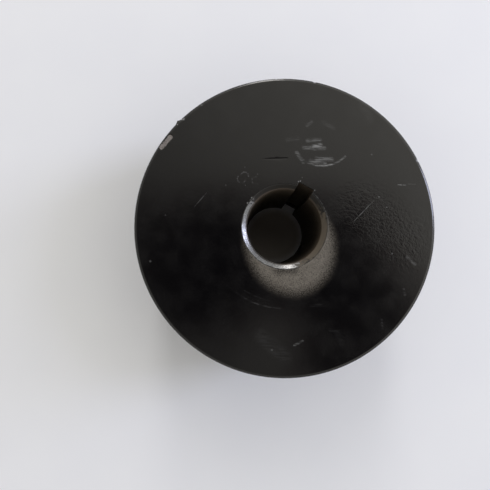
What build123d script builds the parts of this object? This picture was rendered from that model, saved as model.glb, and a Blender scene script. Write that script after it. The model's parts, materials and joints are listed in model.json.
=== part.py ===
"""Double-groove V-belt pulley: a solid cast-iron body with a keyed bore, and the two
set screws that hold it on its shaft.

Row frame, in millimetres: +Z is the bore axis and points out of the plain face, +Y
points from the axis through the keyway, and the origin is the centre of the hub's end
face, which is the face that the pulley stands on.
"""

import os
from math import radians, tan

from build123d import *

INCH = 25.4

# --- Pulley body: driving dimensions ---------------------------------------------
outside_diameter = 4.5 * INCH
bore_diameter = 1.125 * INCH
bore_chamfer = 1.9
key_width = 0.25 * INCH
keyway_depth = 0.125 * INCH  # from the bore wall to the keyway's root
hub_diameter = 2.25 * INCH
hub_projection = 0.5 * INCH  # how far the hub stands out of the rim's back face

# --- Belt grooves: classical B section -------------------------------------------
groove_count = 2
groove_angle = 34.0  # between the two walls of a groove
groove_top_width = 0.637 * INCH
groove_depth = 0.55 * INCH
groove_spacing = 0.75 * INCH
groove_edge_distance = 0.5 * INCH  # from a rim face to the nearest groove's middle

# --- Broken edges and fillets of the body ----------------------------------------
rim_edge_radius = 0.8
land_edge_radius = 0.5
groove_root_radius = 1.0
hub_root_radius = 3.0
hub_end_chamfer = 1.0

# --- Set screws: 5/16-18 hexagon socket, cup point -------------------------------
screw_diameter = 0.3125 * INCH
screw_pitch = INCH / 18
screw_length = 0.375 * INCH
thread_depth = 0.6134 * screw_pitch
thread_clearance = 0.04  # radial gap between a thread's crest and its tapped hole
socket_across_flats = 0.15625 * INCH
socket_depth = 4.2
socket_point_depth = 1.0  # the drilled cone below the hexagon
cup_diameter = 4.4
cup_depth = 1.1

# --- Derived sizes ---------------------------------------------------------------
rim_radius = outside_diameter / 2
bore_radius = bore_diameter / 2
hub_radius = hub_diameter / 2
keyway_root = bore_radius + keyway_depth
rim_width = 2 * groove_edge_distance + (groove_count - 1) * groove_spacing
overall_length = hub_projection + rim_width
groove_bottom_width = groove_top_width - 2 * groove_depth * tan(radians(groove_angle / 2))
groove_heights = [
    hub_projection + groove_edge_distance + i * groove_spacing for i in range(groove_count)
]
screw_radius = screw_diameter / 2
screw_height = hub_projection / 2  # the tapped holes are at the middle of the hub
tapped_hole_radius = screw_radius + thread_clearance

# Each set screw rests one full turn short of the surface that it clamps.
key_screw_tip = keyway_root + screw_pitch
shaft_screw_tip = bore_radius + screw_pitch


def radial_plane(distance, x_dir, z_dir):
    """A plane across a hub screw's axis, facing outward, this far from the bore axis."""
    outward = Vector(*z_dir)
    return Plane(origin=outward * distance + Vector(0, 0, screw_height), x_dir=x_dir, z_dir=z_dir)


key_side = {"x_dir": (1, 0, 0), "z_dir": (0, 1, 0)}
shaft_side = {"x_dir": (0, 1, 0), "z_dir": (1, 0, 0)}


# --- Pulley body -----------------------------------------------------------------
with BuildPart() as pulley_body:
    with BuildSketch(Plane.XZ) as half_section:
        Rectangle(hub_radius, overall_length, align=(Align.MIN, Align.MIN))
        with Locations((0, hub_projection)):
            Rectangle(rim_radius, rim_width, align=(Align.MIN, Align.MIN))
        for groove_height in groove_heights:
            with Locations((rim_radius, groove_height)):
                Polygon(
                    (0, groove_top_width / 2),
                    (-groove_depth, groove_bottom_width / 2),
                    (-groove_depth, -groove_bottom_width / 2),
                    (0, -groove_top_width / 2),
                    align=None,
                    mode=Mode.SUBTRACT,
                )

        corners = half_section.vertices()
        at_rim = corners.filter_by(lambda v: abs(v.X - rim_radius) < 0.01).sort_by(Axis.Z)
        at_groove_root = corners.filter_by(
            lambda v: abs(v.X - (rim_radius - groove_depth)) < 0.01
        )
        at_hub = corners.filter_by(lambda v: abs(v.X - hub_radius) < 0.01).sort_by(Axis.Z)
        fillet([at_rim[0], at_rim[-1]], rim_edge_radius)
        fillet(at_rim[1:-1], land_edge_radius)
        fillet(at_groove_root, groove_root_radius)
        fillet(at_hub[-1], hub_root_radius)
        chamfer(at_hub[0], hub_end_chamfer)
    revolve(axis=Axis.Z)

    # The bore, with both of its ends chamfered
    with Locations((0, 0, overall_length)):
        Hole(bore_radius)
    bore_ends = pulley_body.edges().filter_by(GeomType.CIRCLE).filter_by(
        lambda edge: abs(edge.radius - bore_radius) < 0.01
    )
    chamfer(bore_ends, bore_chamfer)

    # The keyway, broached through the whole length of the bore
    with BuildSketch(Plane.XY) as keyway:
        Rectangle(key_width, keyway_root, align=(Align.CENTER, Align.MIN))
    extrude(amount=overall_length, mode=Mode.SUBTRACT)

    # Two tapped holes in the hub: one over the keyway, one a quarter turn from it
    for side in (key_side, shaft_side):
        with BuildSketch(radial_plane(0, **side)):
            Circle(tapped_hole_radius)
        extrude(amount=hub_radius, mode=Mode.SUBTRACT)


# --- Set screws ------------------------------------------------------------------
def set_screw(label, tip, side):
    """A socket set screw that points at the bore axis, with its cup edge at radius tip."""
    seat = radial_plane(tip, **side)
    section_plane = Plane(origin=seat.origin, x_dir=seat.x_dir, z_dir=-seat.y_dir)
    root_radius = screw_radius - thread_depth
    turns = int((screw_length - 2 * thread_depth) / screw_pitch)
    first_root = (screw_length - turns * screw_pitch) / 2

    # Half the outline, from the cup up the thread to the driven end. Its thread is a
    # stack of rings of the true pitch and depth.
    outline = [(0, cup_depth), (cup_diameter / 2, 0), (root_radius, 0)]
    for i in range(turns):
        outline.append((root_radius, first_root + i * screw_pitch))
        outline.append((screw_radius, first_root + (i + 0.44) * screw_pitch))
        outline.append((screw_radius, first_root + (i + 0.56) * screw_pitch))
    outline.append((root_radius, first_root + turns * screw_pitch))
    outline.append((root_radius, screw_length))
    outline.append((0, screw_length))

    with BuildPart() as screw:
        with BuildSketch(section_plane):
            with BuildLine():
                Polyline(*outline, close=True)
            make_face()
        revolve(axis=Axis(seat.origin, seat.z_dir))

        with BuildSketch(seat.offset(screw_length)):
            RegularPolygon(socket_across_flats / 2, 6, major_radius=False)
        extrude(amount=-socket_depth, mode=Mode.SUBTRACT)

        with BuildSketch(seat.offset(screw_length - socket_depth)):
            Circle(socket_across_flats / 2)
        extrude(amount=-socket_point_depth, taper=60, mode=Mode.SUBTRACT)
    screw.part.label = label
    return screw


key_set_screw = set_screw("key_set_screw", key_screw_tip, key_side)
shaft_set_screw = set_screw("shaft_set_screw", shaft_screw_tip, shaft_side)
pulley_body.part.label = "pulley_body"

os.makedirs("parts", exist_ok=True)
for piece in (pulley_body, key_set_screw, shaft_set_screw):
    export_step(piece.part, f"parts/{piece.part.label}.step")
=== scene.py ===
import json
from collections import namedtuple
from math import asin, ceil, cos, pi, radians, sin, sqrt, tan

import bmesh
import bpy
import numpy as np
from mathutils import Matrix, Vector


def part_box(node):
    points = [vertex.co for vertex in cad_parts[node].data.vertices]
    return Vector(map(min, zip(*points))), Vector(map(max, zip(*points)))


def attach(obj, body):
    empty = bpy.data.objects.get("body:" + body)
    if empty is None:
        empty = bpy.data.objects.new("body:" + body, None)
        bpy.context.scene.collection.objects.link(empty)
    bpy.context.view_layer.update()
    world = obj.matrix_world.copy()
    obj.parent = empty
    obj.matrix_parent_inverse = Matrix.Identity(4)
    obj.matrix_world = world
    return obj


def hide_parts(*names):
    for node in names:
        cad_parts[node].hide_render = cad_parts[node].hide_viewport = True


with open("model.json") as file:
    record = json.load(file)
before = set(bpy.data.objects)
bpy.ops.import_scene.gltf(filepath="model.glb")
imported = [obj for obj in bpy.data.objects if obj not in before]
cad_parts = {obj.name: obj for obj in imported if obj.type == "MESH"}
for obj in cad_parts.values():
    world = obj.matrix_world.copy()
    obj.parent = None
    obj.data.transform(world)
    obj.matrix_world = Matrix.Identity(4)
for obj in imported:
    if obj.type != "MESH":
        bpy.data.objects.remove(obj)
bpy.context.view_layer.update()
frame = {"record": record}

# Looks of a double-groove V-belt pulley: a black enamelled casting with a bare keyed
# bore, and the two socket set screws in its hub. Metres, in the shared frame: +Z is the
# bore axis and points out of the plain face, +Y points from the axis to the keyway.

MM = 0.001
INCH = 25.4 * MM

# --- Sizes read from the frame ---------------------------------------------------
body_low, body_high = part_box("pulley_body")
mounts = {mount["name"]: mount for mount in frame["record"]["mounts"]}
RIM_RADIUS = min(body_high.x, body_high.y, -body_low.x, -body_low.y)
LENGTH = body_high.z
BORE_RADIUS = mounts["bore"]["dims"]["r_mm"] * MM
BORE_CHAMFER = (LENGTH - mounts["bore"]["dims"]["length_mm"] * MM) / 2
MOUTH_RADIUS = BORE_RADIUS + BORE_CHAMFER
KEYWAY_ROOT = mounts["keyway"]["pos_m"][1]
GROOVE_HEIGHTS = sorted(
    mount["pos_m"][2] for name, mount in mounts.items() if name.startswith("belt_groove")
)

# --- Sizes of the casting --------------------------------------------------------
KEY_HALF_WIDTH = 0.125 * INCH
KEYWAY_FILLET = 0.3 * MM
HUB_RADIUS = 1.125 * INCH
HUB_HEIGHT = 0.5 * INCH
GROOVE_TOP_WIDTH = 0.637 * INCH
GROOVE_DEPTH = 0.55 * INCH
GROOVE_ANGLE = radians(34)
RIM_EDGE_RADIUS = 1.2 * MM
LAND_EDGE_RADIUS = 0.5 * MM
GROOVE_ROOT_RADIUS = 1.0 * MM
HUB_ROOT_RADIUS = 3.0 * MM
HUB_END_CHAMFER = 1.0 * MM
BROKEN_EDGE = 0.12 * MM  # where a deburring tool has passed over a sharp edge

# --- Sizes of the set screws, 5/16-18 --------------------------------------------
SCREW_RADIUS = 0.3125 * INCH / 2
PITCH = INCH / 18
THREAD_DEPTH = 0.6134 * PITCH
CREST_WIDTH = PITCH / 8
FLANK_SLOPE = tan(radians(30))
THREAD_CLEARANCE = 0.06 * MM
SOCKET_FLAT_RADIUS = 0.15625 * INCH / 2
SOCKET_DEPTH = 4.2 * MM
SOCKET_POINT_DEPTH = 1.0 * MM
SOCKET_CORNER_ROOM = 0.12 * MM  # from the hexagon's corners to its countersunk mouth
SOCKET_LIP_WIDTH, SOCKET_LIP_DEPTH = 0.06 * MM, 0.03 * MM
SOCKET_FLAT_TOP = 0.26 * MM  # where the countersink ends and the hexagon's flats begin
END_FACE_INSET = 0.12 * MM  # from the thread's root to the edge of either end face
CUP_LIP_WIDTH = 0.08 * MM
CUP_RADIUS = 2.2 * MM
CUP_DEPTH = 1.1 * MM
HOLE_COUNTERSINK = 0.45 * MM
CUTTER_INSIDE, CUTTER_OUTSIDE = 3 * MM, 1 * MM  # how far a hole's cutter passes its ends

KEY_SIDE, SHAFT_SIDE = (0, 1, 0), (1, 0, 0)  # the ways the two screws point out of the hub

# --- Mesh density ----------------------------------------------------------------
SPOKES = 320  # points in every loop round the bore axis
SCREW_SPOKES = 96  # a multiple of six, so that the socket's corners fall on points
HOLE_SPOKES = 56
ARC_STEP = radians(16)
SUPPORT = 0.15 * MM  # a loop this far from a bend keeps the flat beyond it flat
UPPER_CHAMFER_LOOP = 0.45 * MM  # how far below the face the chamfer has one more loop
LIP_BLEND = 5 * MM  # past the keyway, over which the loops turn from keyed to round
FACE_STEP = 1.0 * MM
PROFILE_STEP = 2.4 * MM
BORE_STEP = 4.0 * MM
THREAD_STEP = 0.055 * MM
HOLE_THREAD_STEP = 0.11 * MM


# === Loops round the bore axis ===================================================
def round_loop(radius, height):
    """A circle whose first point is on +Y, over the middle of the keyway."""
    turn = 2 * pi * np.arange(SPOKES) / SPOKES
    return np.column_stack(
        (radius * np.sin(turn), radius * np.cos(turn), np.full(SPOKES, height))
    )


def keyed_loop(radius, height, grow=0.0):
    """The bore's outline: a circle and a keyway, which is wider by grow at each wall."""
    half_width, root = KEY_HALF_WIDTH + grow, KEYWAY_ROOT + grow
    mouth_y = sqrt(radius**2 - half_width**2)
    side = [(x, root) for x in np.linspace(0, half_width - KEYWAY_FILLET, 8, endpoint=False)]
    for turn in np.linspace(0, pi / 2, 4):
        side.append(
            (
                half_width - KEYWAY_FILLET * (1 - sin(turn)),
                root - KEYWAY_FILLET * (1 - cos(turn)),
            )
        )
    for y in np.linspace(root - KEYWAY_FILLET, mouth_y + BROKEN_EDGE, 6)[1:]:
        side.append((half_width, y))
    first = asin(half_width / radius) + BROKEN_EDGE / radius
    for turn in np.linspace(first, pi, SPOKES // 2 + 1 - len(side)):
        side.append((radius * sin(turn), radius * cos(turn)))
    outline = side + [(-x, y) for x, y in side[-2:0:-1]]
    return np.column_stack((np.array(outline), np.full(SPOKES, height)))


def run_to(points, end, longest):
    """Adds points along a straight run, with a close one at each end of a long run."""
    start = points[-1]
    length = (end - start).length
    if length > 4 * SUPPORT:
        stops = np.linspace(SUPPORT, length - SUPPORT, 1 + ceil((length - 2 * SUPPORT) / longest))
        points.extend(start.lerp(end, stop / length) for stop in stops)
    points.append(end)


def rounded_path(corners, longest):
    """Points along a profile of (radius, height, corner radius): runs and tangent arcs."""
    points = [Vector(corners[0][:2])]
    for before, corner, after in zip(corners, corners[1:], corners[2:]):
        here = Vector(corner[:2])
        back = (Vector(before[:2]) - here).normalized()
        ahead = (Vector(after[:2]) - here).normalized()
        turn = pi - back.angle(ahead)
        reach = corner[2] * tan(turn / 2)
        centre = here + (back + ahead).normalized() * (corner[2] / cos(turn / 2))
        run_to(points, here + back * reach, longest)
        spoke = here + back * reach - centre
        side = 1 if spoke.x * back.y - spoke.y * back.x < 0 else -1
        steps = ceil(turn / ARC_STEP)
        for step in range(1, steps + 1):
            angle = side * turn * step / steps
            points.append(
                centre
                + Vector(
                    (
                        spoke.x * cos(angle) - spoke.y * sin(angle),
                        spoke.x * sin(angle) + spoke.y * cos(angle),
                    )
                )
            )
    run_to(points, Vector(corners[-1][:2]), longest)
    return points


def bore_mouth(face_height, into):
    """Loops from the bore wall over its chamfer and broken lip to the end face.
    into is -1 where the material lies below the face and +1 where it lies above."""
    depths = [BORE_CHAMFER - BROKEN_EDGE, BORE_CHAMFER - BROKEN_EDGE - SUPPORT]
    depths += [BORE_CHAMFER / 2, UPPER_CHAMFER_LOOP, BROKEN_EDGE + SUPPORT, BROKEN_EDGE]
    loops = [keyed_loop(BORE_RADIUS, face_height + into * (BORE_CHAMFER + BROKEN_EDGE))]
    loops += [
        keyed_loop(MOUTH_RADIUS - depth, face_height + into * depth) for depth in depths
    ]
    lip_height = face_height + into * BROKEN_EDGE * 0.3
    loops.append(keyed_loop(MOUTH_RADIUS + BROKEN_EDGE * 0.4, lip_height, BROKEN_EDGE * 0.7))
    loops.append(keyed_loop(MOUTH_RADIUS + BROKEN_EDGE * 1.2, face_height, BROKEN_EDGE * 1.3))
    return loops


def face_loops(lip, end_radius):
    """Loops across an end face, from the keyed lip of the bore to a round one."""
    height = lip[0, 2]
    round_from = KEYWAY_ROOT + LIP_BLEND
    blend = [SUPPORT / MOUTH_RADIUS] + list(np.linspace(0, 1, 9)[1:])
    loops = [lip * (1 - share) + round_loop(round_from, height) * share for share in blend]
    count = ceil((end_radius - round_from) / FACE_STEP)
    radii = np.linspace(round_from, end_radius, count + 1)[1:]
    return loops + [round_loop(radius, height) for radius in radii]


def outer_profile():
    """The casting's outside, from the plain face over the rim and hub to the hub's end."""
    groove_bottom_width = GROOVE_TOP_WIDTH - 2 * GROOVE_DEPTH * tan(GROOVE_ANGLE / 2)
    root_radius = RIM_RADIUS - GROOVE_DEPTH
    corners = [
        (RIM_RADIUS - 2 * RIM_EDGE_RADIUS, LENGTH, 0),
        (RIM_RADIUS, LENGTH, RIM_EDGE_RADIUS),
    ]
    for height in reversed(GROOVE_HEIGHTS):
        corners += [
            (RIM_RADIUS, height + GROOVE_TOP_WIDTH / 2, LAND_EDGE_RADIUS),
            (root_radius, height + groove_bottom_width / 2, GROOVE_ROOT_RADIUS),
            (root_radius, height - groove_bottom_width / 2, GROOVE_ROOT_RADIUS),
            (RIM_RADIUS, height - GROOVE_TOP_WIDTH / 2, LAND_EDGE_RADIUS),
        ]
    corners += [
        (RIM_RADIUS, HUB_HEIGHT, RIM_EDGE_RADIUS),
        (HUB_RADIUS, HUB_HEIGHT, HUB_ROOT_RADIUS),
        (HUB_RADIUS, HUB_END_CHAMFER, 2 * BROKEN_EDGE),
        (HUB_RADIUS - HUB_END_CHAMFER, 0, 2 * BROKEN_EDGE),
        (HUB_RADIUS - 2 * HUB_END_CHAMFER, 0, 0),
    ]
    return [round_loop(point.x, point.y) for point in rounded_path(corners, PROFILE_STEP)]


def casting_loops():
    """Every loop of the casting, in order once round its section."""
    top_mouth = bore_mouth(LENGTH, -1)
    end_mouth = bore_mouth(0, 1)
    outside = outer_profile()
    top_face = face_loops(top_mouth[-1], RIM_RADIUS - 2 * RIM_EDGE_RADIUS)[:-1]
    end_face = face_loops(end_mouth[-1], HUB_RADIUS - 2 * HUB_END_CHAMFER)[:-1]
    low, high = end_mouth[0][0, 2], top_mouth[0][0, 2]
    heights = np.linspace(low, high, ceil((high - low) / BORE_STEP) + 1)[1:-1]
    wall = [keyed_loop(BORE_RADIUS, height) for height in heights]
    return wall + top_mouth + top_face + outside + end_face[::-1] + end_mouth[::-1]


# === Damage that has a shape =====================================================
# Places on the plain face and its rim, in millimetres from the bore axis.
CHIP = ((-55.5, 4), (-54.5, 9), 0.95)  # a flake of paint gone: ends, half width
GOUGE = ((-19.5, 18.5), (-11, 23.5), 0.40)
BURR = (-55, 15.5)
NOTCHES = ((-16.5, 54.5, 0.9), (-30, 48.5, 0.6), (-53.5, 17.5, 0.7), (32.5, 46.5, 0.8))
CHIP_DEPTH = 0.10
GOUGE_DEPTH = 0.07
BURR_HEIGHT = 0.55
BURR_REACH = 1.7
BURR_MIDDLE, BURR_SPREAD = 0.45, 0.4  # down the rim from the face
NOTCH_DEPTH = 0.4
NOTCH_END = 1.3  # down the rim from the face
DAMAGED_DEPTH = 1.6  # below the face, where damage ends
CHIP_SURROUND, GOUGE_SURROUND, BURR_SURROUND = 2.2, 0.9, 2.4  # where the mesh is finer


def from_segment(points, start, end):
    """Each point's distance from a segment, and how far along it the nearest place is."""
    start, run = np.array(start), np.array(end) - np.array(start)
    along = np.clip(((points - start) @ run) / max(run @ run, 1e-9), 0, 1)
    return np.linalg.norm(points - start - along[:, None] * run, axis=1), along


def smooth_step(value):
    value = np.clip(value, 0, 1)
    return value * value * (3 - 2 * value)


def near_damage(points):
    """True for the points near damage, where the mesh has to be finer."""
    near = from_segment(points, *CHIP[:2])[0] < CHIP_SURROUND
    near |= from_segment(points, *GOUGE[:2])[0] < GOUGE_SURROUND
    near |= from_segment(points, BURR, BURR)[0] < BURR_SURROUND
    for x, y, reach in NOTCHES:
        near |= from_segment(points, (x, y), (x, y))[0] < 2 * reach
    return near


def damage(places):
    """Moves the vertices of the plain face and its rim to make the damage."""
    flat = places[:, :2] / MM
    below_face = (LENGTH - places[:, 2]) / MM
    top = below_face < DAMAGED_DEPTH
    outward = flat / np.linalg.norm(flat, axis=1)[:, None]
    wobble = 0.14 * np.sin(flat[:, 0] * 2.7 + flat[:, 1] * 1.9)
    wobble += 0.08 * np.sin(flat[:, 1] * 6.1)  # so that no outline is quite even

    off_chip, _ = from_segment(flat, *CHIP[:2])
    chipped = smooth_step((CHIP[2] + wobble - off_chip) / 0.2) * (below_face < 0.5)
    off_gouge, along = from_segment(flat, *GOUGE[:2])
    lens = GOUGE[2] * np.sin(pi * np.clip(along, 0.04, 0.96))
    gouged = smooth_step(1 - off_gouge / lens) * (below_face < 0.1)
    places[:, 2] -= (CHIP_DEPTH * chipped + GOUGE_DEPTH * gouged) * MM

    off_burr, _ = from_segment(flat, BURR, BURR)
    pushed = np.exp(-(((below_face - BURR_MIDDLE) / BURR_SPREAD) ** 2))
    pushed *= smooth_step(1 - off_burr / BURR_REACH)
    pushed *= BURR_HEIGHT * (1 + 2 * wobble)
    for x, y, reach in NOTCHES:
        off_notch, _ = from_segment(flat, (x, y), (x, y))
        dent = smooth_step(1 - off_notch / reach) * top
        pushed -= NOTCH_DEPTH * reach * dent * np.clip(NOTCH_END - below_face, 0, 1)
    places[:, :2] += outward * (pushed * top)[:, None] * MM


# === Building meshes =============================================================
def mesh_of(name, vertices, faces):
    made = bpy.data.meshes.new(name)
    made.from_pydata(vertices, [], faces)
    shaped = bmesh.new()
    shaped.from_mesh(made)
    bmesh.ops.recalc_face_normals(shaped, faces=shaped.faces)
    shaped.to_mesh(made)
    shaped.free()
    return made


def add_object(name, mesh):
    made = bpy.data.objects.new(name, mesh)
    bpy.context.scene.collection.objects.link(made)
    return made


def shade(mesh, sharp_angle):
    """Smooth shading that keeps every edge that turns by more than sharp_angle."""
    mesh.polygons.foreach_set("use_smooth", [True] * len(mesh.polygons))
    mesh.set_sharp_from_angle(angle=sharp_angle)


def quads_between(count, rows, closed):
    """Faces between neighbouring loops of count points; closed joins the last to the first."""
    here = np.arange(count)
    after = (here + 1) % count
    faces = []
    for row in range(rows if closed else rows - 1):
        first, second = row * count, ((row + 1) % rows) * count
        corners = (first + here, first + after, second + after, second + here)
        faces += np.column_stack(corners).tolist()
    return faces


def casting_mesh():
    loops = casting_loops()
    faces = quads_between(SPOKES, len(loops), True)
    mesh = mesh_of("pulley_casting", np.concatenate(loops), faces)
    shaped = bmesh.new()
    shaped.from_mesh(mesh)
    lowest = LENGTH - DAMAGED_DEPTH * MM
    top_faces = [face for face in shaped.faces if face.calc_center_median().z > lowest]
    centres = np.array([face.calc_center_median().xy for face in top_faces]) / MM
    chosen = near_damage(centres)
    edges = {edge for face, near in zip(top_faces, chosen) if near for edge in face.edges}
    bmesh.ops.subdivide_edges(shaped, edges=list(edges), cuts=3, use_grid_fill=True)
    shaped.to_mesh(mesh)
    shaped.free()
    places = np.zeros(len(mesh.vertices) * 3)
    mesh.vertices.foreach_get("co", places)
    places = places.reshape(-1, 3)
    damage(places)
    mesh.vertices.foreach_set("co", places.ravel())
    mesh.update()
    return mesh


def thread_radius(offset, crest_radius, crest_width):
    """A thread's radius at an axial offset from the middle of its crest."""
    from_crest = np.abs((offset / PITCH + 0.5) % 1 - 0.5) * PITCH
    down = (from_crest - crest_width / 2) / FLANK_SLOPE
    return crest_radius - np.clip(down, 0, THREAD_DEPTH)


def spun_mesh(name, loops, spokes, outward):
    """A closed solid about a radial line through the hub, from loops of (radii, distance
    from the bore axis); the first and last loops are single points on the line."""
    outward, first = Vector(outward), Vector((0, 0, 1))
    second = outward.cross(first)
    origin = Vector((0, 0, HUB_HEIGHT / 2))
    turn = 2 * pi * np.arange(spokes) / spokes
    across = np.outer(np.cos(turn), first) + np.outer(np.sin(turn), second)
    rings = [
        np.array(origin) + distance * np.array(outward) + across * np.reshape(radii, (-1, 1))
        for radii, distance in loops[1:-1]
    ]
    ends = [origin + outward * loops[0][1], origin + outward * loops[-1][1]]
    vertices = np.concatenate(rings + [np.array([list(end) for end in ends])])
    faces = quads_between(spokes, len(rings), False)
    start, end, last = len(vertices) - 2, len(vertices) - 1, (len(rings) - 1) * spokes
    for i in range(spokes):
        after = (i + 1) % spokes
        faces.append((start, after, i))
        faces.append((end, last + i, last + after))
    return mesh_of(name, vertices, faces)


def set_screw_mesh(name, inner, outer, outward):
    """A cup-point socket set screw between two distances from the bore axis."""
    turn = 2 * pi * np.arange(SCREW_SPOKES) / SCREW_SPOKES
    end_radius = SCREW_RADIUS - THREAD_DEPTH - END_FACE_INSET
    round_of = np.ones(SCREW_SPOKES)
    hexagon = SOCKET_FLAT_RADIUS / np.cos((turn + pi / 6) % (pi / 3) - pi / 6)
    socket_mouth = SOCKET_FLAT_RADIUS / cos(pi / 6) + SOCKET_CORNER_ROOM
    loops = [(0, inner + CUP_DEPTH)]
    for share in (0.08, 0.5, 0.94):
        loops.append((round_of * CUP_RADIUS * share, inner + CUP_DEPTH * (1 - share)))
    loops.append((round_of * (CUP_RADIUS + CUP_LIP_WIDTH), inner))
    loops.append((round_of * end_radius, inner))
    steps = ceil((outer - inner) / THREAD_STEP)
    for distance in np.linspace(inner, outer, steps + 1)[1:-1]:
        thread = thread_radius(distance - PITCH * turn / (2 * pi), SCREW_RADIUS, CREST_WIDTH)
        taper = end_radius + min(distance - inner, outer - distance)
        loops.append((np.minimum(thread, taper), distance))
    loops.append((round_of * end_radius, outer))
    loops.append((round_of * (socket_mouth + SOCKET_LIP_WIDTH), outer))
    loops.append((round_of * socket_mouth, outer - SOCKET_LIP_DEPTH))
    bottom = outer - SOCKET_DEPTH
    for height in (outer - SOCKET_FLAT_TOP, outer - 0.4 * MM, (outer + bottom) / 2,
                   bottom + 0.1 * MM, bottom):
        loops.append((hexagon, height))
    # The drill's cone below the broached hexagon
    loops.append((hexagon * 0.92, bottom - 0.02 * MM))
    loops.append((round_of * SOCKET_FLAT_RADIUS * 0.85, bottom - 0.05 * MM))
    loops.append((round_of * 0.1 * MM, bottom - SOCKET_POINT_DEPTH * 0.95))
    loops.append((0, bottom - SOCKET_POINT_DEPTH))
    return spun_mesh(name, loops, SCREW_SPOKES, outward)


def tap_mesh(name, outward):
    """The solid that is taken out of the hub for a tapped hole with a countersunk mouth."""
    turn = 2 * pi * np.arange(HOLE_SPOKES) / HOLE_SPOKES
    inner, outer = BORE_RADIUS - CUTTER_INSIDE, HUB_RADIUS + CUTTER_OUTSIDE
    loops = [(0, inner)]
    for distance in np.linspace(inner, outer, ceil((outer - inner) / HOLE_THREAD_STEP) + 1):
        thread = thread_radius(
            distance - PITCH * turn / (2 * pi),
            SCREW_RADIUS + THREAD_CLEARANCE,
            CREST_WIDTH + THREAD_CLEARANCE,
        )
        mouth = SCREW_RADIUS + HOLE_COUNTERSINK + distance - HUB_RADIUS
        loops.append((np.maximum(thread, mouth), distance))
    loops.append((0, outer))
    return spun_mesh(name, loops, HOLE_SPOKES, outward)


def cut_away(target, cutter):
    """Takes the cutter's solid out of the target's mesh, and removes the cutter."""
    cut = target.modifiers.new("tapped_hole", "BOOLEAN")
    cut.operation, cut.solver, cut.object = "DIFFERENCE", "MANIFOLD", cutter
    graph = bpy.context.evaluated_depsgraph_get()
    result = bpy.data.meshes.new_from_object(target.evaluated_get(graph))
    target.modifiers.clear()
    old, target.data = target.data, result
    bpy.data.meshes.remove(old)
    bpy.data.objects.remove(cutter)


# === Node trees ==================================================================
class Tree:
    """Builds a node tree: each method adds a node and returns the output that is used."""

    def __init__(self, tree):
        self.tree = tree

    def node(self, kind, inputs=(), output=0, **settings):
        made = self.tree.nodes.new(kind)
        for name, value in settings.items():
            setattr(made, name, value)
        for name, value in dict(inputs).items():
            self.put(made.inputs[name], value)
        return made.outputs[output]

    def put(self, socket, value):
        if isinstance(value, bpy.types.NodeSocket):
            self.tree.links.new(value, socket)
        else:
            socket.default_value = value

    def math(self, operation, *values):
        return self.node("ShaderNodeMath", enumerate(values), operation=operation)

    def vector(self, operation, *values):
        output = 1 if operation in ("LENGTH", "DISTANCE", "DOT_PRODUCT") else 0
        return self.node("ShaderNodeVectorMath", enumerate(values), output, operation=operation)

    def scaled(self, vector, factor):
        return self.node("ShaderNodeVectorMath", {0: vector, "Scale": factor}, operation="SCALE")

    def height_of(self, place):
        return self.node("ShaderNodeSeparateXYZ", {0: place}, 2)

    def remap(self, value, low, high, to_low=0.0, to_high=1.0):
        """Smoothly from to_low at low to to_high at high. The curve stays between its ends
        without a clamp, and each clamp takes room on the renderer's small stack."""
        return self.node(
            "ShaderNodeMapRange",
            enumerate((value, low, high, to_low, to_high)),
            interpolation_type="SMOOTHSTEP",
            clamp=False,
        )

    def noise(self, place, scale, detail=2.0, roughness=0.5):
        inputs = {"Vector": place, "Scale": scale, "Detail": detail, "Roughness": roughness}
        return self.node("ShaderNodeTexNoise", inputs)

    def mix(self, share, low, high):
        return self.node("ShaderNodeMix", {0: share, 6: low, 7: high}, 2, data_type="RGBA")

    def blend(self, share, low, high):
        return self.node("ShaderNodeMix", {0: share, 2: low, 3: high}, 0, data_type="FLOAT")

    def bump(self, height, distance, normal=None):
        inputs = {"Height": height, "Distance": distance}
        if normal is not None:
            inputs["Normal"] = normal
        return self.node("ShaderNodeBump", inputs)

    def largest(self, values):
        found = values[0]
        for value in values[1:]:
            found = self.math("MAXIMUM", found, value)
        return found


def new_material(name):
    made = bpy.data.materials.new(name)
    made.use_nodes = True
    made.node_tree.nodes.clear()
    tree = Tree(made.node_tree)
    shader = made.node_tree.nodes.new("ShaderNodeBsdfPrincipled")
    output = made.node_tree.nodes.new("ShaderNodeOutputMaterial")
    made.node_tree.links.new(shader.outputs[0], output.inputs["Surface"])
    return made, tree, shader


def millimetres(tree):
    """The piece's own coordinates, in millimetres of the shared frame."""
    return tree.scaled(tree.node("ShaderNodeTexCoord", output=3), 1 / MM)


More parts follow.
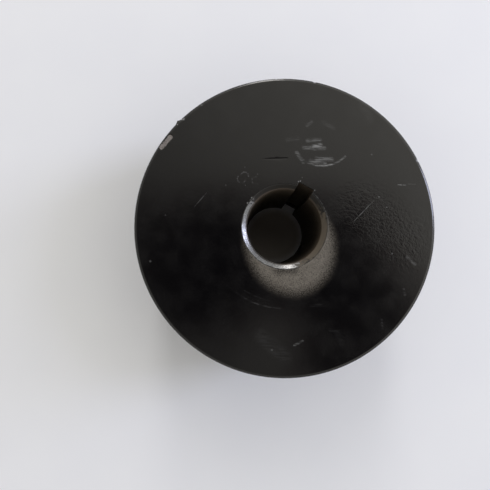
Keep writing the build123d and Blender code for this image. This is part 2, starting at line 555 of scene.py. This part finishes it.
def stroke_group():
    """Strength on a stroke from Start along Run, falling smoothly to 0 at Half Width,
    or Before where that is larger."""
    group = bpy.data.node_groups.new("stroke", "ShaderNodeTree")
    for name in ("Place", "Start", "Run"):
        group.interface.new_socket(name, in_out="INPUT", socket_type="NodeSocketVector")
    for name in ("Per Square", "Half Width", "Strength", "Taper", "Before"):
        group.interface.new_socket(name, in_out="INPUT", socket_type="NodeSocketFloat")
    group.interface.new_socket("Mark", in_out="OUTPUT", socket_type="NodeSocketFloat")
    tree = Tree(group)
    given = group.nodes.new("NodeGroupInput").outputs
    offset = tree.vector("SUBTRACT", given["Place"], given["Start"])
    along = tree.vector("DOT_PRODUCT", offset, given["Run"])
    along = tree.math("MULTIPLY", along, given["Per Square"])
    along = tree.math("MINIMUM", tree.math("MAXIMUM", along, 0.0), 1.0)
    reached = tree.scaled(given["Run"], along)
    from_middle = tree.math("MULTIPLY_ADD", along, 2.0, -1.0)
    squared = tree.math("MULTIPLY", from_middle, from_middle)
    narrowed = tree.math("MULTIPLY", squared, given["Taper"])
    half_width = tree.math("MULTIPLY", given["Half Width"], tree.math("SUBTRACT", 1.0, narrowed))
    off = tree.math("DIVIDE", tree.vector("DISTANCE", offset, reached), half_width)
    mark = tree.math("MULTIPLY", tree.remap(off, 1.0, 0.2), given["Strength"])
    output = group.nodes.new("NodeGroupOutput")
    group.links.new(tree.math("MAXIMUM", mark, given["Before"]), output.inputs[0])
    return group


def strokes(tree, group, place, marks, taper=0.0):
    """The largest of a list of marks, each (start, end, half width, strength)."""
    found = 0.0
    for start, end, half_width, strength in marks:
        run = Vector((end[0] - start[0], end[1] - start[1], 0))
        node = tree.tree.nodes.new("ShaderNodeGroup")
        node.node_tree = group
        tree.put(node.inputs["Place"], place)
        node.inputs["Start"].default_value = (*start, 0)
        node.inputs["Run"].default_value = run
        node.inputs["Per Square"].default_value = 1 / run.length_squared if run.length else 0
        node.inputs["Half Width"].default_value = half_width
        node.inputs["Strength"].default_value = strength
        node.inputs["Taper"].default_value = taper
        tree.put(node.inputs["Before"], found)
        found = node.outputs[0]
    return found


# === Marks on the plain face, in millimetres =====================================
def arc_marks(centre, radius, first, last, half_width, strengths):
    """Marks end to end along an arc between two angles in degrees, one for each strength."""
    turns = np.radians(np.linspace(first, last, len(strengths) + 1))
    ends = [(centre[0] + radius * cos(turn), centre[1] + radius * sin(turn)) for turn in turns]
    return [
        (start, end, half_width, strength)
        for start, end, strength in zip(ends, ends[1:], strengths)
    ]


# Every place below is to the nearest half millimetre.
# The lower edge of the scuff, on the picture's upper side of the bore
SCUFF_ARC = arc_marks((-4.5, 38), 12.5, -114, -16, 0.55, (0.35, 0.4, 0.45, 0.8, 0.8, 0.4, 0.5))
# Pale streaks and fine scratches: start, end, half width and strength
SMEARS = (
    ((-8, 33), (-4, 35.5), 1.1, 0.4),
    ((-8, 30), (-1, 33.5), 1.1, 0.5),
    ((-4.5, 32), (-3, 33.5), 1.6, 0.9),
    ((-1.5, 28.5), (3.5, 31), 1.3, 0.5),
    ((-3.5, 26.5), (2, 28.5), 1.0, 0.5),
    ((-9.5, 27), (-5.5, 25), 1.0, 0.4),
    ((-11, 38), (-10, 40), 1.0, 0.16),
    ((-6, 42), (-1.5, 42), 1.2, 0.1),
    ((-15, 29.5), (-11.5, 32), 1.1, 0.12),
    ((4, 55), (9, 52), 2.2, 0.05),
    ((46, 12), (50, 11), 0.8, 0.25),
    ((24.5, -37.5), (26.5, -34.5), 0.6, 0.4),
    ((33.5, -26), (36.5, -25), 0.9, 0.07),
    ((36.5, -25.5), (39.5, -28), 1.8, 0.03),
    ((48.5, -13), (50.5, -16), 0.6, 0.09),
    ((50.5, 1), (52, -1), 0.7, 0.10),
    ((23, -21.5), (26, -19.5), 0.7, 0.07),
    ((12, -40.5), (23.5, -43), 4.0, 0.05),
)
SCRATCHES = (
    ((25, 25), (22, 14), 0.22, 0.4),
    ((30, 34.5), (33, 36), 0.28, 0.7),
    ((33, 36.5), (36, 38), 0.25, 0.2),
    ((-32, -3), (-33.5, -10), 0.24, 0.22),
)
SCRATCH_TAPER = 0.8
# Dots and flakes: place, half width and strength
DOTS = (
    (16, 40, 0.5, 0.25), (26, 27, 0.5, 0.35), (30.5, 25, 0.35, 0.5),
    (40.5, 10.5, 0.5, 0.3), (-38, -36, 0.6, 0.25), (18, -43, 0.6, 0.3),
    (-27, 3, 0.3, 0.35), (-41.5, -18, 0.5, 0.12), (-3, 19.5, 0.35, 0.25),
    (-50, 25.5, 0.6, 0.25), (-54, 17, 0.45, 1.0), (-54.5, 14.5, 0.4, 0.8),
    (-18.5, 12.5, 0.35, 0.2), (-24, 12.5, 0.3, 0.25), (-20.5, 6.5, 0.3, 0.2),
)
# Curls beside the bore, rings below it and the worn edge of its lip
RUBBED_ARCS = (
    *arc_marks((-22.5, 9.5), 1.5, 20, 200, 0.35, (0.3, 0.1, 0.25, 0.35, 0.15)),
    *arc_marks((-23, 8), 1.6, 170, 380, 0.35, (0.3, 0.15, 0.3, 0.1, 0.3, 0.2)),
    *arc_marks((-18, 10), 1.6, 100, 330, 0.35, (0.1, 0.16, 0.06)),
    *arc_marks((0, 0), 31.0, -106, -64, 0.4, (0.01, 0.03, 0.07, 0.16, 0.14, 0.06)),
    *arc_marks((0, 0), 28.6, -101, -70, 0.3, (0.01, 0.05, 0.05, 0.03)),
    *arc_marks((0, 0), 16.62, 8, 84, 0.34, (0.35, 0.3, 0.25, 0.2, 0.2, 0.15)),
)
# Paint flaked off the lip left of the bore; the last three, at the keyway's two outer corners, are
# painted highlights
LIP_FLAKES_AND_GLINTS = (
    (-16, 3.5, 0.55, 0.7), (-16, 2.5, 0.4, 0.9), (-16.5, 1, 0.5, 0.7),
    (-3.5, 17.5, 0.4, 0.7), (-3, 18, 0.4, 0.8), (3.5, 17.5, 0.35, 0.5),
)
RUBBED_TURN = radians(26)  # the way the face has been rubbed
WISPS_ALONG, WISPS_ACROSS = 0.22, 1.7  # noise to a millimetre, so that rubs are drawn out
MIST_CENTRE = (5, -5)  # of the pale dust round one side of the bore
MIST_AXIS = radians(-43)  # the way it reaches farthest
MIST_HALF_SIZES = (19, 16.5)
MIST_GAP = ((6, -15.5), (10.5, -12.5), 3.4, 0.75)  # a place that it has mostly missed
WRINKLED_BAND = ((24.0, 20.0), (42.0, 18.0), 16.0, 1.0)
PAINT_RELIEF = 0.012 * MM

CLEAN_PAINT, DUSTY_PAINT = (0.0018, 0.0017, 0.0022, 1), (0.0042, 0.0040, 0.0046, 1)
# Pale rubbed paint, also the colour of the painted highlights on the keyway's corners
RUBBED_PAINT_AND_GLINTS = (0.20, 0.205, 0.21, 1)
THIN_MIST, THICK_MIST = (0.086, 0.074, 0.060, 1), (0.146, 0.131, 0.110, 1)
WORN_METAL = (0.24, 0.24, 0.25, 1)
DARK_PRIMER, PALE_PRIMER = (0.100, 0.088, 0.083, 1), (0.200, 0.180, 0.174, 1)

Grains = namedtuple("Grains", "coarse medium fine")  # noises that the wear shares


def dot_marks(dots):
    """Marks of no length from (x, y, half width, strength)."""
    return [((x, y), (x, y), half_width, strength) for x, y, half_width, strength in dots]


def pale_wear_and_glints(tree, group, place, flat, grains):
    """Rubs, scratches, dots and specks, with painted highlights on the keyway's outer corners,
    broken up by the grain of the paint.
    """
    rubs = strokes(tree, group, flat, [*SCUFF_ARC, *SMEARS, *RUBBED_ARCS])
    cuts = strokes(tree, group, flat, SCRATCHES, SCRATCH_TAPER)
    dots = strokes(tree, group, flat, dot_marks(DOTS + LIP_FLAKES_AND_GLINTS))
    rubbed_way = (cos(RUBBED_TURN), sin(RUBBED_TURN), 0)
    crossing = (-sin(RUBBED_TURN), cos(RUBBED_TURN), 0)
    drawn_out = tree.node("ShaderNodeCombineXYZ", {
        0: tree.math("MULTIPLY", tree.vector("DOT_PRODUCT", flat, rubbed_way), WISPS_ALONG),
        1: tree.math("MULTIPLY", tree.vector("DOT_PRODUCT", flat, crossing), WISPS_ACROSS),
    })
    wisps = tree.remap(tree.noise(drawn_out, 1.0, 2.5, 0.55), 0.36, 0.64)
    rubs = tree.math("MULTIPLY", rubs, tree.math("ADD", wisps, 0.08))
    rubs = tree.math("MULTIPLY", rubs, tree.remap(grains.fine, 0.25, 0.60, 0.5, 1.0))
    cuts = tree.math("MULTIPLY", cuts, tree.remap(grains.medium, 0.3, 0.55, 0.1, 1.0))
    dots = tree.math("MULTIPLY", dots, tree.remap(grains.fine, 0.3, 0.5, 0.4, 1.0))
    specks = tree.remap(tree.noise(place, 2.9, 3.0, 0.8), 0.56, 0.70)
    specks = tree.math("MULTIPLY", specks, tree.remap(grains.coarse, 0.40, 0.60, 0.015, 0.05))
    return tree.largest([rubs, cuts, dots, specks])


def dust_mist(tree, group, place, flat, grains):
    """A mist of pale dust round one side of the bore, grainy where it thins out."""
    offset = tree.vector("SUBTRACT", flat, (*MIST_CENTRE, 0))
    along, across = MIST_HALF_SIZES
    axis = (cos(MIST_AXIS) / along, sin(MIST_AXIS) / along, 0)
    aside = (-sin(MIST_AXIS) / across, cos(MIST_AXIS) / across, 0)
    from_middle = tree.vector("LENGTH", tree.node("ShaderNodeCombineXYZ", {
        0: tree.vector("DOT_PRODUCT", offset, axis),
        1: tree.vector("DOT_PRODUCT", offset, aside),
    }))
    from_middle = tree.math("ADD", from_middle, -0.06)
    mist = tree.remap(tree.math("MULTIPLY_ADD", grains.medium, 0.12, from_middle), 1.16, 0.72)
    missed = strokes(tree, group, flat, [MIST_GAP])
    missed = tree.math("MULTIPLY", missed, tree.remap(grains.fine, 0.8, 0.4))
    mist = tree.math("MULTIPLY", mist, tree.math("SUBTRACT", 1.0, missed))
    spots = tree.noise(place, 2.4, 2.0, 0.7)
    speckled = tree.math("MULTIPLY", mist, tree.remap(spots, 0.28, 0.72, 0.25, 1.75))
    return tree.math("MINIMUM", speckled, 1.0)


def chipped_flake(tree, group, flat, grains):
    """The flake of paint that is gone, with a ragged outline."""
    start, end, half_width = CHIP
    chip = strokes(tree, group, flat, [(start, end, half_width * 1.3, 1.0)])
    chip = tree.math("MULTIPLY", chip, tree.remap(grains.medium, 0.3, 0.7, 0.35, 1.65))
    return tree.remap(chip, 0.26, 0.42)


def worn_through(tree, group, z, flat, grains):
    """Where the rim's edge and its notches have lost their paint."""
    length, rim = LENGTH / MM, RIM_RADIUS / MM
    off_edge = tree.math("ABSOLUTE", tree.math("SUBTRACT", z, length - 0.25))
    edge_low = tree.remap(off_edge, 0.5, 0.1)
    edge_out = tree.remap(tree.vector("LENGTH", flat), rim - 0.75, rim - 0.3)
    edge = tree.math("MULTIPLY", edge_low, edge_out)
    edge = tree.math("MULTIPLY", edge, tree.remap(grains.medium, 0.60, 0.74))
    notches = dot_marks((x, y, reach * 1.1, 1.0) for x, y, reach in NOTCHES)
    notched = strokes(tree, group, flat, notches)
    notched = tree.math("MULTIPLY", notched, tree.remap(z, length - 2.0, length - 1.2))
    notched = tree.math("MULTIPLY", notched, tree.remap(grains.fine, 0.4, 0.55))
    return tree.math("MAXIMUM", edge, notched)


def paint_relief(tree, group, place, flat, mist, fine):
    """Orange peel, creases where the paint has wrinkled, and the grain of the dust."""
    peel = tree.noise(place, 0.75, 1.5, 0.45)
    wrinkled = strokes(tree, group, flat, [WRINKLED_BAND])
    creases = tree.math("ABSOLUTE", tree.math("SUBTRACT", tree.noise(place, 0.55, 3.0, 0.6), 0.5))
    creases = tree.math("MULTIPLY", tree.remap(creases, 0.0, 0.10), wrinkled)
    height = tree.math("MULTIPLY", peel, tree.math("MULTIPLY_ADD", wrinkled, 2.0, 0.5))
    height = tree.math("MULTIPLY_ADD", creases, 1.1, height)
    height = tree.math("MULTIPLY_ADD", tree.math("MULTIPLY", mist, fine), 1.2, height)
    return tree.bump(height, PAINT_RELIEF)


def black_enamel():
    """Gloss paint over the casting, with the wear of the plain face and painted highlights on the
    keyway's outer corners.
    """
    made, tree, shader = new_material("black_enamel")
    place = millimetres(tree)
    z = tree.height_of(place)
    flat = tree.vector("MULTIPLY", place, (1, 1, 0))
    on_face = tree.remap(z, LENGTH / MM - 0.6, LENGTH / MM - 0.3)
    coarse = tree.noise(place, 0.12, 3.0)
    medium = tree.noise(place, 0.9, 4.0, 0.6)
    fine = tree.noise(place, 3.2, 3.0, 0.65)
    grains = Grains(coarse, medium, fine)

    group = stroke_group()
    # Rubs and marks, with painted highlights on the keyway's outer corners
    rubbed_and_glinting = tree.math("MULTIPLY", pale_wear_and_glints(tree, group, place, flat, grains), on_face)
    mist = tree.math("MULTIPLY", dust_mist(tree, group, place, flat, grains), on_face)
    chip = tree.math("MULTIPLY", chipped_flake(tree, group, flat, grains), on_face)
    bare = worn_through(tree, group, z, flat, grains)

    dust = tree.math("MULTIPLY", tree.remap(coarse, 0.3, 0.75), tree.remap(fine, 0.3, 0.75))
    colour = tree.mix(dust, CLEAN_PAINT, DUSTY_PAINT)
    colour = tree.mix(rubbed_and_glinting, colour, RUBBED_PAINT_AND_GLINTS)
    grain = tree.remap(fine, 0.38, 0.62)
    powder = tree.math("MULTIPLY", grain, 0.4)
    powder = tree.math("MULTIPLY_ADD", tree.remap(medium, 0.35, 0.65), 0.6, powder)
    colour = tree.mix(mist, colour, tree.mix(powder, THIN_MIST, THICK_MIST))
    colour = tree.mix(bare, colour, WORN_METAL)
    colour = tree.mix(chip, colour, tree.mix(grain, DARK_PRIMER, PALE_PRIMER))
    tree.put(shader.inputs["Base Color"], colour)

    rough = tree.remap(coarse, 0.3, 0.7, 0.14, 0.19)
    rough = tree.blend(rubbed_and_glinting, rough, 0.5)
    rough = tree.blend(mist, rough, 0.55)
    rough = tree.blend(tree.math("MAXIMUM", bare, chip), rough, 0.6)
    tree.put(shader.inputs["Roughness"], rough)
    tree.put(shader.inputs["Metallic"], tree.math("MULTIPLY", bare, 0.7))
    shader.inputs["IOR"].default_value = 1.6
    relief = paint_relief(tree, group, place, flat, mist, fine)
    tree.put(shader.inputs["Normal"], relief)
    return made


OILY_SHADE_MIDDLE = radians(66)  # where the mouth's chamfer is brown with old oil and darkened by painted shade, standing in for the dark surroundings that it mirrors
DUSTY_MIDDLE = radians(6)  # where the pale dust has settled on it
TOOL_RINGS = 6.5  # turned rings to a millimetre

GREY_IRON, BRIGHT_IRON = (0.44, 0.44, 0.44, 1), (0.58, 0.58, 0.58, 1)
# Painted shade inside the bore: dark mottled iron deep down, paler and dusty near the face
DARK_BORE_SHADE, PALE_BORE_SHADE = (0.020, 0.015, 0.011, 1), (0.040, 0.031, 0.022, 1)
DUSTY_BORE_SHADE = (0.080, 0.062, 0.045, 1)
# Brown of old oil, darkened further as painted shade
OIL_AND_PAINTED_SHADE = (0.010, 0.0078, 0.0058, 1)
CORNER_RUST = (0.075, 0.056, 0.040, 1)
SETTLED_DUST = (0.098, 0.080, 0.060, 1)
OVERSPRAY = (0.0025, 0.0024, 0.0030, 1)


def on_side(tree, towards, middle, blotch):
    """How far a place faces the side of the bore at an angle, made uneven by blotch."""
    facing = tree.vector("DOT_PRODUCT", towards, (cos(middle), sin(middle), 0))
    return tree.math("ADD", facing, blotch)


def bare_iron():
    """Turned grey iron: bright on the chamfers, darkened in the bore by painted shade that
    lightens and turns dusty towards the face, and brown on one side of the face's chamfer with old
    oil and painted shade.
    """
    made, tree, shader = new_material("bare_turned_iron")
    place = millimetres(tree)
    z = tree.height_of(place)
    flat = tree.vector("MULTIPLY", place, (1, 1, 0))
    radius = tree.vector("LENGTH", flat)
    towards = tree.vector("NORMALIZE", flat)
    length, chamfer, mouth = LENGTH / MM, BORE_CHAMFER / MM, MOUTH_RADIUS / MM
    middle = tree.math("SUBTRACT", z, length / 2)
    depth = tree.math("SUBTRACT", length / 2, tree.math("ABSOLUTE", middle))
    inside = tree.remap(depth, chamfer * 0.92, chamfer * 1.06)
    beyond = tree.math("SUBTRACT", radius, tree.math("SUBTRACT", mouth, depth))
    # Painted shade over the bore's wall, away from the chamfers
    bore_shade = tree.math("MAXIMUM", inside, tree.remap(beyond, 0.25, 0.6))
    near_face = tree.remap(z, length - 14.0, length - 1.0)
    on_mouth = tree.remap(z, length - 2.4, length - 1.9)

    medium = tree.noise(place, 0.8, 4.0, 0.6)
    fine = tree.noise(place, 4.0, 3.0, 0.6)
    mottle = tree.remap(medium, 0.3, 0.7)
    blotch = tree.remap(medium, 0.3, 0.7, -0.16, 0.16)
    # Old oil and painted shade: the chamfer darkened on the side that mirrors dark surroundings
    oil_and_shade = tree.remap(on_side(tree, towards, OILY_SHADE_MIDDLE, blotch), -0.48, -0.16)
    oil_and_shade = tree.math("MULTIPLY", oil_and_shade, on_mouth)
    dusty = tree.remap(on_side(tree, towards, DUSTY_MIDDLE, blotch), 0.62, 0.86)
    dusty = tree.math("MULTIPLY", tree.math("MULTIPLY", dusty, on_mouth), 0.95)
    corner = tree.math("ABSOLUTE", tree.math("SUBTRACT", radius, BORE_RADIUS / MM + 0.30))
    corner = tree.math("MULTIPLY", tree.remap(corner, 0.30, 0.10), on_mouth)
    edge = tree.math("SUBTRACT", radius, tree.math("MULTIPLY", medium, 0.5))
    painted = tree.remap(edge, mouth - 0.48, mouth - 0.38)
    painted = tree.math("MULTIPLY", painted, tree.remap(depth, 0.9, 0.7))
    painted = tree.math("MULTIPLY", painted, tree.math("MULTIPLY_ADD", dusty, -0.35, 1.0))

    # The bore's painted shade, mottled, and paler and dusty towards the face
    scale = tree.mix(mottle, DARK_BORE_SHADE, PALE_BORE_SHADE)
    colour = tree.mix(oil_and_shade, tree.mix(mottle, GREY_IRON, BRIGHT_IRON), OIL_AND_PAINTED_SHADE)
    colour = tree.mix(tree.math("MULTIPLY", corner, 0.7), colour, CORNER_RUST)
    colour = tree.mix(dusty, colour, SETTLED_DUST)
    colour = tree.mix(bore_shade, colour, tree.mix(near_face, scale, DUSTY_BORE_SHADE))
    tree.put(shader.inputs["Base Color"], tree.mix(painted, colour, OVERSPRAY))
    # Oil, dust, paint and painted shade all take the metal's shine away
    coated_and_shaded = tree.largest([oil_and_shade, dusty, painted, tree.math("MULTIPLY", bore_shade, 0.75)])
    tree.put(shader.inputs["Metallic"], tree.math("SUBTRACT", 1.0, coated_and_shaded))
    rough = tree.blend(coated_and_shaded, tree.remap(fine, 0.3, 0.7, 0.24, 0.36), 0.6)
    tree.put(shader.inputs["Roughness"], tree.blend(painted, rough, 0.16))

    rings = tree.math("SINE", tree.math("MULTIPLY", z, 2 * pi * TOOL_RINGS))
    height = tree.math("MULTIPLY_ADD", rings, 0.12, tree.math("MULTIPLY", fine, 0.8))
    tree.put(shader.inputs["Normal"], tree.bump(height, 0.02 * MM))
    return made


DARK_OXIDE, BROWN_OXIDE = (0.030, 0.029, 0.030, 1), (0.062, 0.058, 0.054, 1)
RUBBED_STEEL = (0.30, 0.29, 0.28, 1)


def blackened_steel(name, outward):
    """Black oxide on a set screw, rubbed bright on the crests of its thread."""
    made, tree, shader = new_material(name)
    place = millimetres(tree)
    axis_point = (0, 0, HUB_HEIGHT / 2 / MM)
    offset = tree.vector("SUBTRACT", place, axis_point)
    from_axis = tree.vector("LENGTH", tree.vector("CROSS_PRODUCT", offset, outward))
    medium = tree.noise(place, 1.6, 4.0, 0.6)
    fine = tree.noise(place, 7.0, 3.0, 0.6)
    crest = SCREW_RADIUS / MM
    on_crest = tree.remap(from_axis, crest - 0.16, crest - 0.04)
    rubbed = tree.math("MULTIPLY", on_crest, tree.remap(medium, 0.42, 0.62))
    oxide = tree.mix(tree.remap(medium, 0.3, 0.7), DARK_OXIDE, BROWN_OXIDE)
    tree.put(shader.inputs["Base Color"], tree.mix(rubbed, oxide, RUBBED_STEEL))
    shader.inputs["Metallic"].default_value = 0.85
    rough = tree.remap(fine, 0.3, 0.7, 0.30, 0.46)
    tree.put(shader.inputs["Roughness"], tree.blend(rubbed, rough, 0.28))
    tree.put(shader.inputs["Normal"], tree.bump(fine, 0.01 * MM))
    return made


PAPER, PALE_PAPER = (0.785, 0.80, 0.85, 1), (0.80, 0.815, 0.86, 1)
# Painted shadow on the table under the bore, where it is seen through the bore
UNDER_BORE_SHADOW_PAPER = (0.48, 0.45, 0.42, 1)
UNDER_BORE_SHADOW_REACH, UNDER_BORE_SHADOW_CORE = 16.0, 11.0
# Painted shade on the table below each window, where the lamp's light would burn the white out
WINDOW_SHADE_PAPER = (0.24, 0.242, 0.246, 1)
WINDOW_SHADE_REACH, WINDOW_SHADE_CORE = 800.0, 120.0
WINDOW_SHADE_OFFSET = 0.28  # metres in front of a window's foot, where its light is strongest


def floor_paper():
    """The matt white table top, with a painted shadow under the bore, and painted shade below the
    windows, where their light would burn it out."""
    made, tree, shader = new_material("white_table")
    place = millimetres(tree)
    mottle = tree.noise(place, 0.02, 3.0)
    colour = tree.mix(tree.remap(mottle, 0.3, 0.7), PAPER, PALE_PAPER)
    # Painted shadow under the bore
    under_bore_shadow = tree.remap(tree.vector("LENGTH", place), UNDER_BORE_SHADOW_REACH, UNDER_BORE_SHADOW_CORE)
    colour = tree.mix(under_bore_shadow, colour, UNDER_BORE_SHADOW_PAPER)
    for window in WINDOWS:
        brightest = (window.distance * cos(window.elevation) - WINDOW_SHADE_OFFSET) / MM
        from_it = tree.vector("DISTANCE", place, picture_direction(window.turn, 0) * brightest)
        # Painted shade where this window's light is strongest
        window_shade = tree.remap(from_it, WINDOW_SHADE_REACH, WINDOW_SHADE_CORE)
        colour = tree.mix(window_shade, colour, WINDOW_SHADE_PAPER)
    tree.put(shader.inputs["Base Color"], colour)
    shader.inputs["Roughness"].default_value = 0.9
    shader.inputs["Specular IOR Level"].default_value = 0.15
    return made


# === The pulley ==================================================================
CASTING_CREASE, SCREW_CREASE = radians(38), radians(35)  # the least turn of a sharp edge
EDGE_TOLERANCE = 0.02 * MM


def is_bare(centre):
    """True for a face of the bore, keyway, chamfers or tapped holes."""
    x, y, z = centre
    from_end = min(z, LENGTH - z)
    in_keyway = abs(x) < KEY_HALF_WIDTH + BROKEN_EDGE / 2 and 0 < y < KEYWAY_ROOT + BROKEN_EDGE / 2
    if sqrt(x * x + y * y) < MOUTH_RADIUS + BROKEN_EDGE or in_keyway:
        return True
    hole = SCREW_RADIUS + HOLE_COUNTERSINK + EDGE_TOLERANCE
    for along, aside in ((y, x), (x, y)):
        off_axis = sqrt(aside**2 + (z - HUB_HEIGHT / 2) ** 2)
        in_hub = 0 < along < HUB_RADIUS - EDGE_TOLERANCE and from_end > HUB_END_CHAMFER
        if in_hub and off_axis < hole:
            return True
    return False


def make_pulley():
    pulley = add_object("pulley_casting", casting_mesh())
    for name, outward in (("key_side_tap", KEY_SIDE), ("shaft_side_tap", SHAFT_SIDE)):
        cut_away(pulley, add_object(name, tap_mesh(name, outward)))
    mesh = pulley.data
    mesh.materials.clear()
    mesh.materials.append(black_enamel())
    mesh.materials.append(bare_iron())
    mesh.polygons.foreach_set(
        "material_index", [int(is_bare(polygon.center)) for polygon in mesh.polygons]
    )
    shade(mesh, CASTING_CREASE)
    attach(pulley, "pulley")
    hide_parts("pulley_body")


def make_set_screw(name, node, body, outward):
    low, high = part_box(node)
    axis = Vector(outward)
    screw = add_object(name, set_screw_mesh(name, axis.dot(low), axis.dot(high), outward))
    screw.data.materials.append(blackened_steel("black_oxide_" + body, outward))
    shade(screw.data, SCREW_CREASE)
    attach(screw, body)
    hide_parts(node)


# === Studio ======================================================================
PICTURE_TURN = radians(28.8)  # the picture's up is +Y turned this far towards -X
CAMERA_PLACE = Vector((-7.07, -18.42, 206.5)) * MM
CAMERA_AIM = Vector((-9.69, -13.43, 57.15)) * MM
CAMERA_LENS = 29.1  # millimetres, on a 36 mm sensor
Window = namedtuple("Window", "name turn elevation distance size power colour")
WINDOWS = (
    Window("right_window", radians(15.5), radians(26), 1.4, (0.37, 1.05), 9.4, (0.72, 0.76, 1.0)),
    Window("top_window", radians(91), radians(28), 1.4, (0.27, 1.05), 5.7, (1.0, 0.97, 0.94)),
)


def picture_direction(turn, elevation):
    """A direction by its turn from the picture's right, and its elevation."""
    turn += PICTURE_TURN
    return Vector((cos(turn) * cos(elevation), sin(turn) * cos(elevation), sin(elevation)))


def make_camera():
    camera = bpy.data.objects.new("camera", bpy.data.cameras.new("camera"))
    bpy.context.scene.collection.objects.link(camera)
    ahead = (CAMERA_AIM - CAMERA_PLACE).normalized()
    right = ahead.cross(picture_direction(pi / 2, 0)).normalized()
    up = right.cross(ahead)
    turned = Matrix((right, up, -ahead)).transposed().to_4x4()
    camera.matrix_world = Matrix.Translation(CAMERA_PLACE) @ turned
    camera.data.sensor_width = 36
    camera.data.lens = CAMERA_LENS
    camera.data.clip_start, camera.data.clip_end = 0.01, 50
    bpy.context.scene.camera = camera


def make_window(window):
    light = bpy.data.lights.new(window.name, "AREA")
    light.shape, light.energy, light.color = "RECTANGLE", window.power, window.colour
    light.size, light.size_y = window.size
    lamp = bpy.data.objects.new(window.name, light)
    bpy.context.scene.collection.objects.link(lamp)
    towards = picture_direction(window.turn, window.elevation)
    sideways = Vector((0, 0, 1)).cross(towards).normalized()
    turned = Matrix((sideways, towards.cross(sideways), towards)).transposed().to_4x4()
    lamp.matrix_world = Matrix.Translation(towards * window.distance) @ turned
    lamp.visible_camera = False


# What stands between the ceiling and the gloss face, which mirrors it: soft boxes by
# centre and half sizes as slopes from the vertical along the picture's right and up,
# then how soft the edge is and how much of the ceiling is hidden.
OVERHEAD_SHAPES = (
    (-0.145, -0.02, 0.095, 0.12, 0.12, 0.94),
    (0.05, 0.02, 0.12, 0.10, 0.10, 0.94),
    (0.235, 0.02, 0.09, 0.11, 0.075, 0.93),
    (0.29, -0.19, 0.10, 0.12, 0.12, 0.96),
)
LEAST_HORIZON, MOST_HORIZON = 0.20, 0.50
LEAST_CEILING, MOST_CEILING = 0.22, 1.0
RING_LIGHT = 0.46  # more light, all round, between the horizon and the ceiling
HORIZON_TINT, CEILING_TINT = (0.98, 1.0, 1.0, 1), (1.0, 0.965, 0.88, 1)
HIDDEN_TINT = (1.0, 0.78, 0.74, 1)
BACKDROP = (0.76, 0.768, 0.80, 1)


def unhidden_ceiling(tree, slope_right, slope_up):
    """How much of the ceiling shows past the shapes overhead, in a direction."""
    clear = 1.0
    for x, y, half_x, half_y, softness, hidden in OVERHEAD_SHAPES:
        off_x = tree.math("ABSOLUTE", tree.math("SUBTRACT", slope_right, x))
        off_y = tree.math("ABSOLUTE", tree.math("SUBTRACT", slope_up, y))
        off_x = tree.math("MAXIMUM", tree.math("SUBTRACT", off_x, half_x), 0.0)
        off_y = tree.math("MAXIMUM", tree.math("SUBTRACT", off_y, half_y), 0.0)
        off = tree.vector("LENGTH", tree.node("ShaderNodeCombineXYZ", {0: off_x, 1: off_y}))
        clear = tree.math("MULTIPLY", clear, tree.remap(off, 0, softness, 1 - hidden, 1))
    return clear


def make_world():
    """Soft light from all round, brighter to the picture's right and top."""
    world = bpy.data.worlds.new("studio")
    bpy.context.scene.world = world
    world.use_nodes = True
    world.node_tree.nodes.clear()
    tree = Tree(world.node_tree)
    direction = tree.node("ShaderNodeTexCoord")
    across = tree.vector("DOT_PRODUCT", direction, picture_direction(0, 0))
    along = tree.vector("DOT_PRODUCT", direction, picture_direction(pi / 2, 0))
    height = tree.vector("DOT_PRODUCT", direction, (0, 0, 1))
    steep = tree.math("MAXIMUM", height, 0.05)
    slope_right = tree.math("DIVIDE", across, steep)
    slope_up = tree.math("DIVIDE", along, steep)

    side = tree.math("MULTIPLY", tree.math("ADD", across, along), 0.707)
    near_horizon = tree.remap(side, -0.75, 0.9, LEAST_HORIZON, MOST_HORIZON)
    ceiling = tree.math("MULTIPLY_ADD", across, 0.8, tree.math("MULTIPLY_ADD", along, 0.5, 0.42))
    ceiling = tree.math("MINIMUM", tree.math("MAXIMUM", ceiling, LEAST_CEILING), MOST_CEILING)
    clear = unhidden_ceiling(tree, slope_right, slope_up)
    share = tree.remap(height, 0.2, 0.6)
    level = tree.blend(share, near_horizon, tree.math("MULTIPLY", ceiling, clear))
    ring = tree.math("MULTIPLY", tree.remap(height, 0.25, 0.45), tree.remap(height, 0.90, 0.78))
    level = tree.math("MULTIPLY_ADD", ring, RING_LIGHT, level)
    tint = tree.mix(share, HORIZON_TINT, tree.mix(clear, HIDDEN_TINT, CEILING_TINT))
    studio = tree.node("ShaderNodeBackground", {0: tint, 1: level})
    backdrop = tree.node("ShaderNodeBackground", {0: BACKDROP, 1: 1.0})
    seen = tree.node("ShaderNodeLightPath")
    shown = tree.node("ShaderNodeMixShader", {0: seen, 1: studio, 2: backdrop})
    output = world.node_tree.nodes.new("ShaderNodeOutputWorld")
    world.node_tree.links.new(shown, output.inputs[0])


TABLE_HALF_SIZE, TABLE_CELLS = 6.0, 24
TABLE_GAP = 0.02 * MM  # below the hub's end, so that the two don't share a plane


def make_floor():
    steps = np.linspace(-TABLE_HALF_SIZE, TABLE_HALF_SIZE, TABLE_CELLS + 1)
    vertices = [(x, y, -TABLE_GAP) for y in steps for x in steps]
    row = TABLE_CELLS + 1
    faces = [
        (j * row + i, j * row + i + 1, (j + 1) * row + i + 1, (j + 1) * row + i)
        for j in range(TABLE_CELLS)
        for i in range(TABLE_CELLS)
    ]
    mesh = bpy.data.meshes.new("table")
    mesh.from_pydata(vertices, [], faces)
    mesh.materials.append(floor_paper())
    add_object("table", mesh)


make_camera()
make_pulley()
make_set_screw("key_side_set_screw", "key_set_screw", "key_screw", KEY_SIDE)
make_set_screw("shaft_side_set_screw", "shaft_set_screw", "shaft_screw", SHAFT_SIDE)
make_floor()
make_world()
for window in WINDOWS:
    make_window(window)
bpy.context.scene.view_settings.view_transform = "Standard"
